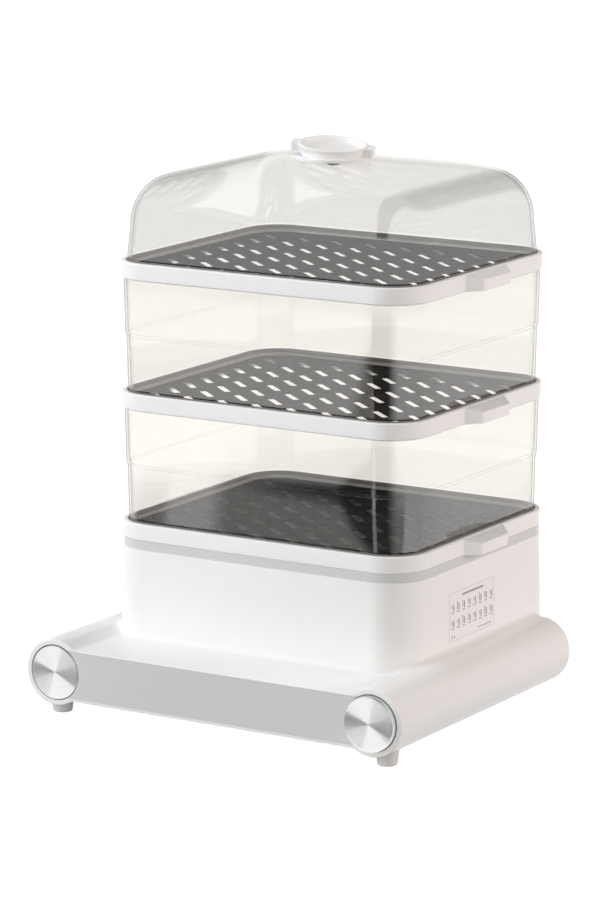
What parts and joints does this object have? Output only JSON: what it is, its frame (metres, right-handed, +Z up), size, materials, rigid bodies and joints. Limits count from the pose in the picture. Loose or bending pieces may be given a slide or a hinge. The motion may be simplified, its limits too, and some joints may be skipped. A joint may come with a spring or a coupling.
{
  "type": "electric food steamer",
  "caption": "Free-standing electric food steamer: roll-sided water base with timer and power discs, drip tray, stacked perforated trays with clear walls, domed lid.",
  "frame": {"origin": "on the ground below the middle of the outer box", "axes": "+Z up, -Y towards the front with the two discs, +X towards the timer side"},
  "size_m": [0.3488, 0.3236, 0.4555],
  "materials": {
    "white_plastic": "glossy moulded white",
    "grey_plastic": "satin light grey",
    "band_plastic": "satin light grey",
    "clear_plastic": "clear, polished",
    "dark_plate": "fine satin charcoal",
    "spun_aluminium": "radially spun",
    "stainless": "brushed",
    "zinc_steel": "bright plated",
    "black_plastic": "fine matt",
    "rubber_grey": "matt",
    "silicone": "soft matt",
    "element_metal": "oxidised tube",
    "cream_plastic": "matt"
  },
  "bodies": {
    "base": {"base_housing": "white_plastic", "base_cover": "white_plastic", "cover_screws": "zinc_steel", "front_panel": "grey_plastic", "foot_front_left": "rubber_grey", "foot_front_right": "rubber_grey", "foot_rear_left": "rubber_grey", "foot_rear_right": "rubber_grey", "timer_unit": "cream_plastic", "power_switch": "black_plastic", "reservoir": "grey_plastic", "heater_gasket": "silicone", "heater_pan": "stainless", "heater_clamp": "zinc_steel", "clamp_screws": "zinc_steel", "heating_element": "element_metal", "boil_dry_thermostat": "zinc_steel", "thermal_fuse": "cream_plastic", "steam_guide": "grey_plastic", "terminal_block": "cream_plastic", "cord_gland": "black_plastic"},
    "timer_knob": {"timer_knob": "white_plastic", "timer_knob_cap": "spun_aluminium", "timer_shaft": "stainless"},
    "power_button": {"power_button": "white_plastic", "power_button_cap": "spun_aluminium"},
    "drip_tray": {"drip_tray": "band_plastic"},
    "tray_1": {"tray_frame_1": "white_plastic", "tray_plate_1": "dark_plate"},
    "wall_1": {"clear_wall_1": "clear_plastic"},
    "tray_2": {"tray_frame_2": "white_plastic", "tray_plate_2": "dark_plate"},
    "wall_2": {"clear_wall_2": "clear_plastic"},
    "tray_3": {"tray_frame_3": "white_plastic", "tray_plate_3": "dark_plate"},
    "lid": {"lid_dome": "clear_plastic", "lid_handle": "white_plastic", "handle_washer": "silicone", "handle_screw": "stainless"}
  },
  "joints": [
    {"name": "timer_turn", "type": "hinge", "parent": "base", "child": "timer_knob", "pos_m": [0.14735, -0.15695, 0.036], "axis": [0, 1, 0], "range_deg": [0, 300]},
    {"name": "power_press", "type": "slide", "parent": "base", "child": "power_button", "axis": [0, 1, 0], "range_m": [0, 0.003], "stiffness_N_per_m": 400, "springref_m": -0.002},
    {"name": "drip_tray_lift", "type": "slide", "parent": "base", "child": "drip_tray", "axis": [0, 0, 1], "range_m": [0, 0.1]},
    {"name": "tray_1_lift", "type": "slide", "parent": "drip_tray", "child": "tray_1", "axis": [0, 0, 1], "range_m": [0, 0.08]},
    {"name": "wall_1_lift", "type": "slide", "parent": "tray_1", "child": "wall_1", "axis": [0, 0, 1], "range_m": [0, 0.08]},
    {"name": "tray_2_lift", "type": "slide", "parent": "wall_1", "child": "tray_2", "axis": [0, 0, 1], "range_m": [0, 0.08]},
    {"name": "wall_2_lift", "type": "slide", "parent": "tray_2", "child": "wall_2", "axis": [0, 0, 1], "range_m": [0, 0.08]},
    {"name": "tray_3_lift", "type": "slide", "parent": "wall_2", "child": "tray_3", "axis": [0, 0, 1], "range_m": [0, 0.08]},
    {"name": "lid_lift", "type": "slide", "parent": "tray_3", "child": "lid", "axis": [0, 0, 1], "range_m": [0, 0.15]}
  ]
}
